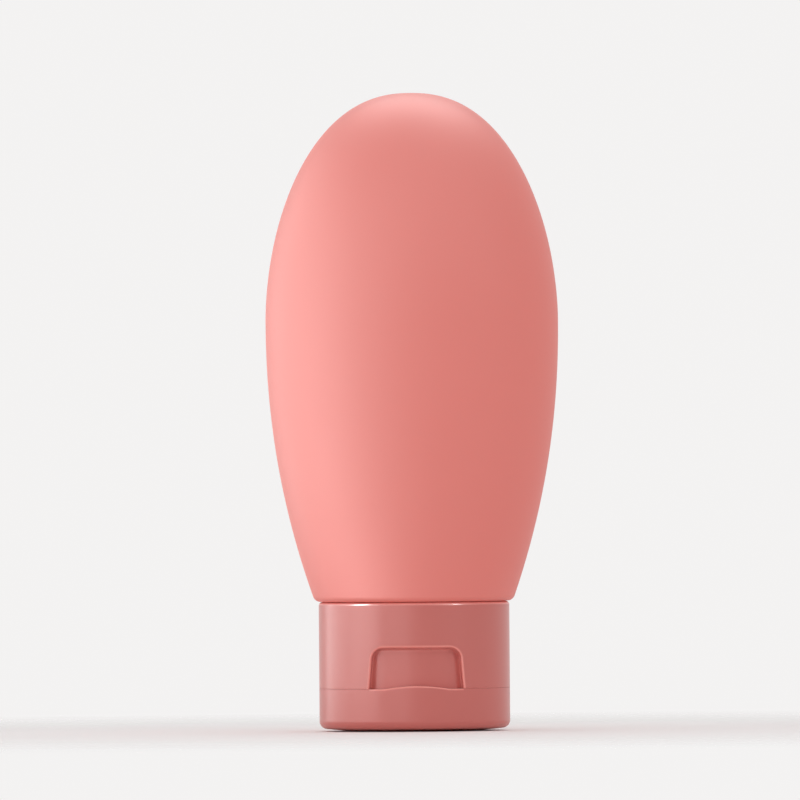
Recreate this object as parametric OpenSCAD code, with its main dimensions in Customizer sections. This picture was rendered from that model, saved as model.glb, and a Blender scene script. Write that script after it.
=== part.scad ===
// Travel squeeze bottle with a screw cap and a flip lid, standing upside down on the lid.
// The flat end of the lid lies at z = 0 on the axis of the neck, and the thumb recess faces -Y.

/* [Squeeze body] */
// Length of the body from its shoulder to the top of its dome
body_h = 83.7; // [76:0.1:96]
// Width across the front at the widest level
body_w = 48.2; // [40:0.1:56]
// Depth from front to back at the widest level
body_d = 34.8; // [33:0.1:48]
// Height of the widest level above the shoulder
widest_h = 46; // [36:0.1:52]
// Diameter of the round shoulder that covers the rim of the cap
shoulder_d = 32.6; // [32:0.1:36]
// Radius of the rounded edge of the shoulder
shoulder_edge_r = 0.8; // [0.3:0.1:2]
// Wall of the blown body
body_wall = 1; // [0.6:0.1:1.8]
// How late the flanks draw in below the widest level: 2 is a parabola
flank_curve = 2.1; // [1.6:0.01:3]
// How late the dome draws in above the widest level
dome_curve = 1.88; // [1.6:0.01:2.4]
// How blunt the top of the dome is: 2 is an ellipse
dome_bluntness = 2.28; // [2:0.01:3]

/* [Neck and thread] */
// Diameter over the crest of the neck's thread
thread_d = 24; // [20:0.1:24.2]
// Height of the thread above the neck
thread_h = 1.1; // [0.6:0.1:1.4]
// Rise of the thread in one turn
thread_pitch = 3; // [2.6:0.1:3.4]
// Turns of thread on the neck
neck_turns = 1.5; // [1:0.05:1.8]
// Width of a thread where it leaves its wall
thread_root_w = 1.5; // [1.1:0.05:1.6]
// Width of a thread at its crest
thread_crest_w = 0.7; // [0.4:0.05:0.9]
// Distance from the neck's lip to the middle of the first thread
thread_start = 1.6; // [1.2:0.1:2.2]
// Wall of the neck under its thread
neck_wall = 1.6; // [1.2:0.1:2.6]
// How far the transfer ring stands out past the thread
neck_ring_over = 0.3; // [-0.5:0.1:0.7]
// Height of the transfer ring
neck_ring_h = 1.2; // [0.6:0.1:1.4]
// Distance from the transfer ring to the shoulder
neck_ring_gap = 1.4; // [0.6:0.1:1.8]

/* [Screw closure] */
// Outside diameter of the cap, base and lid
cap_d = 31.4; // [31.2:0.1:32]
// Height of the closure base from its rim to its deck
base_h = 14.25; // [13.5:0.01:18]
// Wall of the outer shell of the base
shell_wall = 1.35; // [1:0.05:1.5]
// Radius of the rounded edge of the rim
rim_r = 0.5; // [0.2:0.05:0.6]
// Thickness of the deck between the neck and the lid
deck_t = 1.2; // [0.8:0.1:1.6]
// Wall of the threaded sleeve
sleeve_wall = 1; // [0.7:0.1:1.1]
// Height of the threaded sleeve above the deck
sleeve_h = 9.3; // [9:0.1:9.6]
// Turns of thread inside the sleeve
cap_turns = 1.25; // [0.75:0.05:1.25]
// Gap between the crest of one thread and the wall of the other
thread_gap = 0.25; // [0.15:0.05:0.4]
// Gap between the rim of the cap and the shoulder of the body
shoulder_gap = 0.05; // [0.05:0.05:0.8]
// Thickness of the sealing washer
washer_t = 1; // [0.6:0.1:1.4]
// Gap between the sealing washer and the sleeve
washer_gap = 0.3; // [0.2:0.05:0.6]
// Width of the washer's overhang inside the bore of the neck
washer_overhang = 0.3; // [0.1:0.1:1]

/* [Nozzle] */
// Bore of the nozzle
orifice_d = 3.4; // [2:0.1:4.5]
// Height of the nozzle below the deck
nozzle_h = 2.6; // [1.6:0.1:3.2]
// Diameter of the nozzle at its tip
nozzle_tip_d = 5.4; // [5.4:0.1:7]
// Diameter of the nozzle at the deck
nozzle_root_d = 6.6; // [6:0.1:9]
// Radius of the rounded tip of the nozzle
nozzle_tip_r = 0.35; // [0.1:0.05:0.4]

/* [Thumb recess] */
// Width of the recess at the seam
recess_w = 15.8; // [12:0.1:18]
// Width of the recess just below its top corners
recess_top_w = 15; // [11:0.1:17]
// Height of the recess above the seam
recess_h = 6.9; // [5:0.1:8]
// Depth of the recess in the wall
recess_depth = 1.35; // [0.8:0.05:1.4]
// Radius of the top corners
recess_corner_r = 2.1; // [0.8:0.1:3]
// How far each side leans in towards the floor
recess_draft = 0.5; // [0.1:0.05:1]

/* [Flip lid] */
// Height of the lid
lid_h = 6.95; // [6.9:0.01:9]
// Wall of the lid
lid_wall = 1.35; // [1:0.05:1.5]
// Thickness of the lid's end
lid_end_t = 1.3; // [1:0.1:1.6]
// Gap between the lid and the closure base
seam_gap = 0.05; // [0.05:0.05:0.3]
// Radius of the flat pad that the bottle stands on
pad_r = 8.5; // [6:0.1:11]
// How far the end of the lid rises from the pad to its edge
crown_h = 0.35; // [0.1:0.05:0.8]
// Radius of the edge of the lid
lid_edge_r = 1.3; // [0.6:0.1:2]
// Width of the thumb lip
lip_w = 10.6; // [6:0.1:12]
// Height of the thumb lip at its middle
lip_h = 0.5; // [0.2:0.05:0.9]
// Gap between the thumb lip and the floor of the recess
lip_gap = 0.2; // [0.1:0.05:0.4]
// Height of the ring that the lid snaps over
collar_h = 1.8; // [1.2:0.1:2.2]
// Wall of the snap ring
collar_wall = 1; // [0.8:0.1:1.4]
// Gap between the snap ring and the lid
collar_gap = 0.35; // [0.25:0.05:0.5]
// How far the snap bead stands out from its ring
snap_h = 0.2; // [0.1:0.05:0.2]
// Half the height of the snap bead
snap_half_w = 0.35; // [0.2:0.05:0.45]
// Play of the sealing plug at the mouth of the nozzle
plug_gap = 0.06; // [0.02:0.01:0.1]
// How much slimmer the plug's tip is than its root, on the radius
plug_taper = 0.3; // [0.25:0.05:0.5]
// Gap between the shoulder of the plug and the tip of the nozzle
plug_shoulder_gap = 0.25; // [0.1:0.05:0.4]
// How far the plug stops short of the top of the deck
plug_short = 1.7; // [1.4:0.1:2.2]
// Wall between the plug's shoulder and its side
plug_shoulder_w = 0.6; // [0.3:0.1:1]

/* [Living hinge] */
// Depth of the flat at the back of the cap
hinge_flat = 0.7; // [0.65:0.05:0.8]
// Height of the flat on the base, and on the lid
hinge_flat_h = 3.4; // [3:0.1:4.5]
// Width of the hinge
hinge_w = 7; // [5:0.1:8]
// Height of the hinge on each side of the seam
hinge_leaf_h = 2.2; // [1.4:0.1:2.6]
// Thickness of the hinge's leaves
hinge_t = 0.4; // [0.3:0.05:0.45]
// Thickness of the film that bends
film_t = 0.2; // [0.15:0.05:0.25]
// Height of the film
film_h = 0.8; // [0.5:0.1:1.2]
// Width of each slot beside the middle strap
hinge_slot_w = 0.5; // [0.3:0.1:0.8]
// Width of the middle strap
hinge_strap_w = 2.4; // [1.6:0.1:3]

/* [Hidden] */

$fn = 96;
body_colour = [0.90, 0.56, 0.53];
cap_colour = [0.80, 0.50, 0.47];
washer_colour = [0.93, 0.92, 0.90];

// Levels, from the table up
seam_z = lid_h + seam_gap;
deck_z = seam_z + deck_t;
lip_z = deck_z + washer_t;
rim_z = seam_z + base_h;
shoulder_z = rim_z + shoulder_gap;
nozzle_z = seam_z - nozzle_h;
collar_z = seam_z - collar_h;
snap_z = seam_z - collar_h / 2;

// Radii, from the neck out
cap_r = cap_d / 2;
crest_r = thread_d / 2;
neck_r = crest_r - thread_h;
bore_r = neck_r - neck_wall;
sleeve_r = crest_r + thread_gap;
lid_in_r = cap_r - lid_wall;
collar_r = lid_in_r - collar_gap;
orifice_r = orifice_d / 2;
hinge_y = cap_r - hinge_flat;

// The facets of the blown body and of the threads
body_sides = 64;
cavity_sides = 48;
dome_rings = 16;
flank_rings = 12;
edge_rings = 4;
thread_steps = 40;
thread_ramp = 35;
thread_root_sink = 0.25;
overlap = 0.02;

// Half the body's size at height h, from its shoulder up, before the edge is rounded
function flank_half(h, widest, at, shoulder) =
    widest - (widest - shoulder) * pow((at - h) / at, flank_curve);
function dome_half(h, widest, at, top) =
    widest * pow(max(0, 1 - pow((h - at) / (top - at), dome_curve)), 1 / dome_bluntness);
function body_half(h, widest, at, shoulder, top) =
    h < at ? flank_half(h, widest, at, shoulder) : dome_half(h, widest, at, top);

// What a rounded edge of radius r takes off the half size at height h
function edge_cut(h, r) = h < r ? r - sqrt(max(0, r * r - pow(r - h, 2))) : 0;

// Heights of the rings: close together on the rounded edge and near the top of the dome
function ring_heights(at, top, r) = concat(
    [for (i = [0 : edge_rings - 1]) r * (1 - cos(90 * i / edge_rings))],
    [for (i = [0 : flank_rings - 1]) r + (at - r) * i / flank_rings],
    [for (i = [0 : dome_rings - 1]) at + (top - at) * sin(90 * i / dome_rings)]
);

function oval(rx, ry, z, sides) =
    [for (i = [0 : sides - 1]) [rx * cos(360 * i / sides), ry * sin(360 * i / sides), z]];

// Faces of a closed solid lofted through rings of the same number of sides, with a point on top
function loft_faces(rings, sides) = concat(
    [[for (i = [0 : sides - 1]) i]],
    [for (r = [0 : rings - 2], i = [0 : sides - 1])
        let (j = (i + 1) % sides) each [
            [r * sides + i, (r + 1) * sides + i, r * sides + j],
            [r * sides + j, (r + 1) * sides + i, (r + 1) * sides + j]
        ]],
    [for (i = [0 : sides - 1])
        [(rings - 1) * sides + i, rings * sides, (rings - 1) * sides + (i + 1) % sides]]
);

// An egg of the body's form, inset by the wall: a round shoulder below and an oval waist above
module blown_form(inset, edge_r, sides) {
    top = body_h - 2 * inset;
    at = widest_h - inset;
    half_w = body_w / 2 - inset;
    half_d = body_d / 2 - inset;
    shoulder_r = shoulder_d / 2 - inset;
    heights = ring_heights(at, top, edge_r);
    rings = [for (h = heights) oval(
        body_half(h, half_w, at, shoulder_r, top) - edge_cut(h, edge_r),
        body_half(h, half_d, at, shoulder_r, top) - edge_cut(h, edge_r),
        shoulder_z + inset + h, sides)];
    apex = [0, 0, shoulder_z + inset + top];
    polyhedron(
        points = concat([for (ring = rings) each ring], [apex]),
        faces = loft_faces(len(rings), sides)
    );
}

// A right-hand thread that starts at angle 0 at height z, and stands from root_r to crest_r.
// Its root is sunk in the wall that carries it, and both of its ends ramp down into that wall.
module helical_thread(root_r, crest_r, z, turns) {
    out = sign(crest_r - root_r);
    sunk_r = root_r - out * thread_root_sink;
    flank = (thread_root_w - thread_crest_w) / 2 * thread_root_sink / abs(crest_r - root_r);
    half_root = thread_root_w / 2 + flank;
    half_crest = thread_crest_w / 2;
    steps = ceil(thread_steps * turns);
    points = [for (i = [0 : steps])
        let (
            turned = 360 * turns * i / steps,
            left = 360 * turns - turned,
            rise = min(1, 0.1 + min(turned, left) / thread_ramp),
            top_r = sunk_r + (crest_r - sunk_r) * rise,
            half_top = half_root + (half_crest - half_root) * rise,
            mid = z + thread_pitch * turned / 360
        )
        for (p = [[sunk_r, -half_root], [top_r, -half_top], [top_r, half_top], [sunk_r, half_root]])
            [p[0] * cos(turned), p[0] * sin(turned), mid + p[1]]];
    sides = [for (i = [0 : steps - 1], k = [0 : 3])
        let (a = 4 * i + k, b = 4 * i + (k + 1) % 4) each [[a, b, a + 4], [b, b + 4, a + 4]]];
    last = 4 * steps;
    faces = concat([[3, 2, 1, 0]], sides, [[last, last + 1, last + 2, last + 3]]);
    polyhedron(
        points = points,
        faces = out < 0 ? [for (f = faces) [for (i = [len(f) - 1 : -1 : 0]) f[i]]] : faces
    );
}

module ring(outer_r, inner_r, z, h) {
    translate([0, 0, z]) rotate_extrude() translate([inner_r, 0]) square([outer_r - inner_r, h]);
}

module neck_outside() {
    translate([0, 0, lip_z]) cylinder(r = neck_r, h = shoulder_z - lip_z + body_wall / 2);
    translate([0, 0, shoulder_z - neck_ring_gap - neck_ring_h])
        cylinder(r = crest_r + neck_ring_over, h = neck_ring_h);
    helical_thread(neck_r, crest_r, lip_z + thread_start, neck_turns);
}

module bottle() {
    color(body_colour) difference() {
        union() {
            difference() {
                blown_form(0, shoulder_edge_r, body_sides);
                blown_form(body_wall, shoulder_edge_r, cavity_sides);
            }
            neck_outside();
        }
        translate([0, 0, lip_z - 1]) cylinder(r = bore_r, h = shoulder_z - lip_z + body_wall + 2);
    }
}

// Half section of the closure base: outer shell with its rounded rim, deck, sleeve and snap ring
module base_section() {
    shell_in_r = cap_r - shell_wall;
    translate([shell_in_r, seam_z]) square([shell_wall, base_h - rim_r]);
    translate([shell_in_r, seam_z]) square([shell_wall - rim_r, base_h]);
    translate([cap_r - rim_r, rim_z - rim_r]) circle(rim_r);
    translate([0, seam_z]) square([cap_r - shell_wall / 2, deck_t]);
    translate([sleeve_r, seam_z]) square([sleeve_wall, deck_t + sleeve_h]);
    translate([collar_r - collar_wall, collar_z]) square([collar_wall, collar_h + deck_t / 2]);
    polygon([
        [collar_r - overlap, snap_z - snap_half_w - overlap],
        [collar_r + snap_h, snap_z],
        [collar_r - overlap, snap_z + snap_half_w + overlap]
    ]);
}

// Half section of the nozzle, which tapers to a rounded tip
module nozzle_section() {
    tip_r = nozzle_tip_d / 2;
    polygon([
        [0, seam_z + deck_t / 2],
        [nozzle_root_d / 2, seam_z + deck_t / 2],
        [nozzle_root_d / 2, seam_z],
        [tip_r, nozzle_z + nozzle_tip_r],
        [0, nozzle_z + nozzle_tip_r]
    ]);
    translate([0, nozzle_z]) square([tip_r - nozzle_tip_r, 2 * nozzle_tip_r]);
    translate([tip_r - nozzle_tip_r, nozzle_z + nozzle_tip_r]) circle(nozzle_tip_r);
}

// Front view of the recess: sides that lean in, and round top corners
module recess_outline() {
    hull() {
        translate([-recess_w / 2, -1]) square([recess_w, 1]);
        for (side = [-1, 1])
            translate([side * (recess_top_w / 2 - recess_corner_r), recess_h - recess_corner_r])
                circle(recess_corner_r);
    }
}

// Plan of the recess: its sides lean in from the wall's surface to the floor
module recess_plan() {
    half = recess_w / 2;
    edge_y = sqrt(cap_r * cap_r - half * half);
    lean = recess_draft / recess_depth;
    far = cap_r + 1 - edge_y;
    polygon([
        [-half - lean * far, -cap_r - 1], [half + lean * far, -cap_r - 1],
        [half - lean * edge_y, 0], [-half + lean * edge_y, 0]
    ]);
}

module thumb_recess() {
    difference() {
        intersection() {
            translate([0, 0, seam_z]) rotate([90, 0, 0]) linear_extrude(cap_r + 1) recess_outline();
            translate([0, 0, seam_z - 1]) linear_extrude(recess_h + 2) recess_plan();
        }
        translate([0, 0, seam_z - 2]) cylinder(r = cap_r - recess_depth, h = recess_h + 4);
    }
}

// The wall is thick behind the recess, and joins the shell to the sleeve there
module recess_backing() {
    width = recess_w + 2 * shell_wall;
    intersection() {
        ring(cap_r - shell_wall / 2, sleeve_r + sleeve_wall / 2, seam_z, recess_h + shell_wall);
        translate([-width / 2, -cap_r, seam_z]) cube([width, cap_r, recess_h + shell_wall]);
    }
}

// What is cut off the back of the cap for the hinge, above and below the seam
module hinge_cut() {
    translate([-cap_r, hinge_y, seam_z - seam_gap / 2 - hinge_flat_h])
        cube([cap_d, cap_r, 2 * hinge_flat_h]);
}

module cap_base() {
    color(cap_colour) {
        difference() {
            union() {
                rotate_extrude() base_section();
                rotate_extrude() nozzle_section();
                recess_backing();
            }
            thumb_recess();
            hinge_cut();
            translate([0, 0, nozzle_z - 1]) cylinder(r = orifice_r, h = nozzle_h + deck_t + 2);
        }
        helical_thread(sleeve_r, neck_r + thread_gap,
            lip_z + thread_start + thread_pitch / 2, cap_turns);
    }
}

module sealing_washer() {
    color(washer_colour) ring(sleeve_r - washer_gap, bore_r - washer_overhang, deck_z, washer_t);
}

// Half section of the lid: flat pad, crowned end, rounded edge and plain wall
module lid_section() {
    crown_w = cap_r - lid_edge_r - pad_r;
    crown_r = (crown_w * crown_w + crown_h * crown_h) / (2 * crown_h);
    edge_z = crown_h + lid_edge_r;
    square([pad_r, lid_end_t]);
    intersection() {
        translate([pad_r, 0]) square([crown_w, edge_z]);
        translate([pad_r, crown_r]) circle(crown_r, $fn = 720);
    }
    translate([cap_r - lid_edge_r, edge_z]) circle(lid_edge_r);
    translate([0, crown_h + lid_edge_r]) square([cap_r, lid_h - edge_z]);
}

// Room inside the lid, with a groove for the snap bead
module lid_room() {
    groove_w = snap_half_w + overlap + 0.1;
    translate([0, lid_end_t]) square([lid_in_r, lid_h]);
    polygon([
        [lid_in_r - overlap, snap_z - groove_w],
        [lid_in_r + snap_h, snap_z],
        [lid_in_r - overlap, snap_z + groove_w]
    ]);
}

// The lid's rim rises to a low arch that the thumb pushes against
module thumb_lip() {
    arch_r = (lip_w * lip_w / 4 + lip_h * lip_h) / (2 * lip_h);
    intersection() {
        ring(cap_r, cap_r - recess_depth + lip_gap, lid_h - overlap, 2 * lip_h);
        translate([0, 0, lid_h + lip_h - arch_r]) rotate([90, 0, 0]) cylinder(r = arch_r, h = cap_d);
        translate([-lip_w / 2, -cap_r, 0]) cube([lip_w, cap_r, lid_h + 2 * lip_h]);
    }
}

// Pin that closes the nozzle, on a thicker post
module sealing_plug() {
    root_r = orifice_r - plug_gap;
    post_z = nozzle_z - plug_shoulder_gap;
    tip_z = deck_z - plug_short;
    translate([0, 0, lid_end_t - overlap])
        cylinder(r = root_r + plug_shoulder_w, h = post_z - lid_end_t + overlap);
    translate([0, 0, post_z - overlap]) cylinder(r = root_r, h = plug_shoulder_gap + 2 * overlap);
    translate([0, 0, nozzle_z])
        cylinder(r1 = root_r, r2 = root_r - plug_taper, h = tip_z - nozzle_z);
}

module lid() {
    color(cap_colour) {
        difference() {
            union() {
                difference() {
                    rotate_extrude() lid_section();
                    rotate_extrude() lid_room();
                }
                thumb_lip();
            }
            hinge_cut();
        }
        sealing_plug();
    }
}

// One leaf on the base, one on the lid, and a thin film between them, with two slots
module living_hinge() {
    mid_z = seam_z - seam_gap / 2;
    slot_x = (hinge_strap_w + hinge_slot_w) / 2;
    color(cap_colour) difference() {
        translate([-hinge_w / 2, hinge_y, mid_z - hinge_leaf_h])
            cube([hinge_w, hinge_t, 2 * hinge_leaf_h]);
        translate([-cap_r, hinge_y - 1, mid_z - film_h / 2])
            cube([cap_d, 1 + (hinge_t - film_t) / 2, film_h]);
        translate([-cap_r, hinge_y + (hinge_t + film_t) / 2, mid_z - film_h / 2])
            cube([cap_d, 1, film_h]);
        for (side = [-1, 1])
            translate([side * slot_x - hinge_slot_w / 2, hinge_y - 1, mid_z - hinge_leaf_h / 2])
                cube([hinge_slot_w, 2, hinge_leaf_h]);
    }
}

bottle();
cap_base();
sealing_washer();
living_hinge();
lid();
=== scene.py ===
"""Looks of the travel squeeze bottle: a soft blown body that stands on its glossy flip cap."""

import math

import bpy
import numpy as np
from mathutils import Euler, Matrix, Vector


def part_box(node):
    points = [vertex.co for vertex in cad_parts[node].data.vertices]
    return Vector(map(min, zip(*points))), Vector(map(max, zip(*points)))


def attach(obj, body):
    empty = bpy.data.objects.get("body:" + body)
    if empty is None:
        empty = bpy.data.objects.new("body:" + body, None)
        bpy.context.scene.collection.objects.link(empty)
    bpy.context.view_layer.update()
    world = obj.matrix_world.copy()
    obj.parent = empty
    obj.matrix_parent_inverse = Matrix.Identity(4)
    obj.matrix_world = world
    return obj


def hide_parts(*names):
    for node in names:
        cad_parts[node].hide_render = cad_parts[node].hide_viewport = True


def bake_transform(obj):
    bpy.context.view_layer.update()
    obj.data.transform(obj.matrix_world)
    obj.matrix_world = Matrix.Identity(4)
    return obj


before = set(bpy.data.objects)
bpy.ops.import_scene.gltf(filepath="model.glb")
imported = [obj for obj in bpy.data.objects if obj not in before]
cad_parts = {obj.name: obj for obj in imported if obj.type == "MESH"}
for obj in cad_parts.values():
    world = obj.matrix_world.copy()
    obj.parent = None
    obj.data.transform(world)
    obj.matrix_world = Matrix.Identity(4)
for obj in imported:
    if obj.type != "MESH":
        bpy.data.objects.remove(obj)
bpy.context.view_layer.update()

MM = 0.001

# Two points this close, in millimetres, count as on the same line
NEAR = 0.01

# The small radii of moulded edges and corners
SLIGHT_R = 0.08
TIGHT_R = 0.15
EDGE_R = 0.2
ROOT_R = 0.3

# The squeeze body, in millimetres
BODY_LOW, BODY_HIGH = (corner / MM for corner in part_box("bottle"))
BODY_HALF_W = BODY_HIGH.x
BODY_HALF_D = BODY_HIGH.y
DOME_Z = BODY_HIGH.z
LIP_Z = BODY_LOW.z
SHOULDER_GAP = 0.05
SHOULDER_R = 16.3
SHOULDER_EDGE_R = 0.8
WIDEST_H = 46.0
BODY_WALL = 1.0
CAVITY_STEP_R = 0.4
FLANK_CURVE = 2.1
DOME_CURVE = 1.88
DOME_BLUNTNESS = 2.28

# The neck and the two threads
CREST_R = 12.0
THREAD_H = 1.1
NECK_R = CREST_R - THREAD_H
BORE_R = 9.3
THREAD_PITCH = 3.0
NECK_TURNS = 1.5
CAP_TURNS = 1.25
THREAD_ROOT_W = 1.5
THREAD_CREST_W = 0.7
THREAD_START = 1.6
THREAD_GAP = 0.25
THREAD_RAMP = math.radians(35)
NECK_RING_R = 12.3
NECK_RING_H = 1.2
NECK_RING_GAP = 1.4
NECK_LIP_EDGE_R = 0.25
NECK_ROOT_R = 0.4

# The closure base
BASE_LOW, BASE_HIGH = (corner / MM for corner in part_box("cap_base"))
CAP_R = BASE_HIGH.x
RIM_Z = BASE_HIGH.z
NOZZLE_Z = BASE_LOW.z
SHOULDER_Z = RIM_Z + SHOULDER_GAP
BODY_H = DOME_Z - SHOULDER_Z
SEAM_Z = 7.0
DECK_T = 1.2
DECK_Z = SEAM_Z + DECK_T
SHELL_WALL = 1.35
RIM_EDGE_R = 0.6
SEAM_EDGE_R = 0.04
SEAM_SHOWN = 0.015
SLEEVE_R = CREST_R + THREAD_GAP
SLEEVE_WALL = 1.0
SLEEVE_H = 9.3
SHELL_IN_R = CAP_R - SHELL_WALL
SLEEVE_OUT_R = SLEEVE_R + SLEEVE_WALL
SLEEVE_TOP_Z = DECK_Z + SLEEVE_H
ORIFICE_R = 1.7
NOZZLE_TIP_R = 2.7
NOZZLE_ROOT_R = 3.3
NOZZLE_EDGE_R = 0.35
COLLAR_GAP = 0.35
COLLAR_H = 1.8
COLLAR_WALL = 1.0
SNAP_H = 0.2
SNAP_HALF_W = 0.35
SNAP_EDGE_R = 0.1
SNAP_BEAD_R = 0.12
SNAP_Z = SEAM_Z - COLLAR_H / 2

# The thumb recess in the front of the base
RECESS_HALF_W = 7.9
RECESS_TOP_HALF_W = 7.5
RECESS_H = 6.9
RECESS_DEPTH = 1.35
RECESS_CORNER_R = 2.1
RECESS_EDGE_R = 0.45
RECESS_FOOT_R = 0.15
RECESS_WALL_ANGLE = math.radians(76)
RECESS_EDGE_OUT = 0.25

# The flip lid
LID_H = 6.95
LID_WALL = 1.35
LID_IN_R = CAP_R - LID_WALL
COLLAR_R = LID_IN_R - COLLAR_GAP
LID_RIM_Z = SEAM_Z - SEAM_SHOWN
LID_END_T = 1.3
PAD_R = 8.5
CROWN_H = 0.35
LID_EDGE_R = 1.3
LIP_HALF_W = 5.3
LIP_H = 0.5
LIP_GAP = 0.2
LIP_EDGE_R = 0.24
LID_FLOOR_R = 0.5
PLUG_GAP = 0.06
PLUG_R = ORIFICE_R - PLUG_GAP
PLUG_TAPER = 0.3
PLUG_POST_W = 0.6
PLUG_SHOULDER_GAP = 0.25
PLUG_SHORT = 1.7
PLUG_TOP_Z = DECK_Z - PLUG_SHORT
PLUG_END_R = 0.25

# The hinge at the back
HINGE_FLAT = 0.7
HINGE_Y = CAP_R - HINGE_FLAT
HINGE_MID_Z = (SEAM_Z + LID_H) / 2
HINGE_FLAT_H = 3.4
FLAT_END_H = 0.25
FLAT_TOP_Z = HINGE_MID_Z + HINGE_FLAT_H
FLAT_LOW_Z = HINGE_MID_Z - HINGE_FLAT_H
HINGE_W = 7.0
HINGE_LEAF_H = 2.2
HINGE_T = 0.4
FILM_T = 0.2
FILM_H = 0.8
HINGE_SLOT_W = 0.5
HINGE_STRAP_W = 2.4
HINGE_END_W = 0.15
HINGE_END_CUT = 0.08
FILM_RAMP = 0.12


def smooth(x, low, high):
    """A soft step from 0 at low to 1 at high."""
    t = np.clip((x - low) / (high - low), 0.0, 1.0)
    return t * t * (3.0 - 2.0 * t)


def even(start, end, step):
    """Values from start to end, without the end, at most one step apart."""
    count = max(1, math.ceil(abs(end - start) / step - 1e-6))
    return [start + (end - start) * i / count for i in range(count)]


# How finely a section is drawn: its lines, its arcs in degrees, and the points that keep faces flat
LINE_STEP = 0.6
ARC_STEP = 18.0
SUPPORT = 0.05


def rounded_corner(before, here, after, radius):
    """The points of one rounded corner, and where its arc starts and ends."""
    toward, away = before - here, after - here
    toward /= np.linalg.norm(toward)
    away /= np.linalg.norm(away)
    half = math.acos(np.clip(toward @ away, -1, 1)) / 2
    reach = radius / math.tan(half)
    bisector = (toward + away) / np.linalg.norm(toward + away)
    centre = here + bisector * radius / math.sin(half)
    first, last = here + toward * reach, here + away * reach
    turn = math.pi - 2 * half
    pieces = max(2, math.ceil(math.degrees(turn) / ARC_STEP))
    start, end = first - centre, last - centre
    side = np.sign(start[0] * end[1] - start[1] * end[0])
    arc = []
    for k in range(pieces + 1):
        a = side * turn * k / pieces
        arc.append(centre + [start[0] * math.cos(a) - start[1] * math.sin(a),
                             start[0] * math.sin(a) + start[1] * math.cos(a)])
    return arc, first, last


def line_points(start, end, step):
    """Points between the ends of a line, with one close to either end so that it shades flat."""
    length = np.linalg.norm(end - start)
    if length < 1e-6:
        return []
    stops = [s / length for s in even(0, length, step)[1:]]
    if length > 4 * SUPPORT:
        stops = sorted(set(stops + [SUPPORT / length, 1 - SUPPORT / length]))
    return [start + (end - start) * s for s in stops]


def rounded_path(corners, closed=False):
    """Points (r, z) along straight lines whose corners are rounded.

    A corner is (r, z, radius) or (r, z, radius, step), where step is that of the line after it."""
    count = len(corners)
    places = [np.array(corner[:2], float) for corner in corners]
    bends = []
    for i, here in enumerate(places):
        if corners[i][2] > 0 and (closed or 0 < i < count - 1):
            after = places[(i + 1) % count]
            bends.append(rounded_corner(places[i - 1], here, after, corners[i][2]))
        else:
            bends.append(([here], here, here))
    path = []
    for i, (arc, _, leave) in enumerate(bends):
        path.extend(arc)
        if closed or i < count - 1:
            step = corners[i][3] if len(corners[i]) > 3 else LINE_STEP
            path.extend(line_points(leave, bends[(i + 1) % count][1], step))
    kept = [path[0]]
    for point in path[1:]:
        if np.linalg.norm(point - kept[-1]) > 1e-4:
            kept.append(point)
    if closed and np.linalg.norm(kept[0] - kept[-1]) < 1e-4:
        kept.pop()
    return np.array(kept)


def add_piece(name, points, faces, body, slot, *replaced, sharp=50.0):
    """A new piece from points in millimetres, riding on a body in place of CAD nodes."""
    mesh = bpy.data.meshes.new(name)
    mesh.from_pydata([tuple(p) for p in np.asarray(points) * MM], [], faces)
    mesh.validate()
    mesh.update()
    mesh.shade_smooth()
    mesh.set_sharp_from_angle(angle=math.radians(sharp))
    piece = bpy.data.objects.new(name, mesh)
    bpy.context.scene.collection.objects.link(piece)
    if body:
        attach(piece, body)
    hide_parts(*replaced)
    return piece


def lathe(rows, angles, closed=False, poles=(None, None)):
    """Points and faces of a turned form.

    rows is an array of (x, y, z) for each row and angle. A closed form joins its last row to its
    first, and an open one ends in a pole point at either end."""
    count, sides = rows.shape[:2]
    points = list(rows.reshape(-1, 3))
    faces = []
    around = np.roll(np.arange(sides), -1)
    for i in range(count if closed else count - 1):
        a, b = i * sides, ((i + 1) % count) * sides
        faces.extend((a + j, a + k, b + k, b + j) for j, k in enumerate(around))
    for end, row in zip(poles, (0, count - 1)):
        if end is None:
            continue
        points.append(np.array(end, float))
        tip, base = len(points) - 1, row * sides
        for j, k in enumerate(around):
            faces.append((base + k, base + j, tip) if row == 0 else (base + j, base + k, tip))
    return points, faces


def turned(radii, heights, angles):
    """Rows of points from radii and heights, each one value a row or one for every angle."""
    shape = (len(heights), len(angles))
    r = np.broadcast_to(np.asarray(radii, float).reshape(len(heights), -1), shape)
    z = np.broadcast_to(np.asarray(heights, float).reshape(len(heights), -1), shape)
    return np.stack([r * np.cos(angles), r * np.sin(angles), z], axis=-1)


def thread_height(z, angles, start_z, turns):
    """Share of the full thread height at each height and angle of a right-hand thread."""
    best = np.zeros(np.broadcast(z, angles).shape)
    full = 2 * math.pi * turns
    for lap in range(math.ceil(turns) + 1):
        turned_by = angles % (2 * math.pi) + 2 * math.pi * lap
        middle = start_z + THREAD_PITCH * turned_by / (2 * math.pi)
        flank_w = (THREAD_ROOT_W - THREAD_CREST_W) / 2
        flank = (THREAD_ROOT_W / 2 - np.abs(z - middle)) / flank_w
        ramp = np.minimum(turned_by, full - turned_by) / THREAD_RAMP
        best = np.maximum(best, np.clip(flank, 0, 1) * smooth(ramp, 0.0, 1.0))
    return best


# The squeeze body

BODY_SIDES = 192


def body_half(h, widest, at, shoulder, top):
    """Half the body's size at height h above its shoulder."""
    flank = widest - (widest - shoulder) * np.clip((at - h) / at, 0, 1) ** FLANK_CURVE
    rise = np.clip((h - at) / (top - at), 0, 1)
    dome = widest * (1 - rise ** DOME_CURVE) ** (1 / DOME_BLUNTNESS)
    return np.where(h < at, flank, dome)


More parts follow.
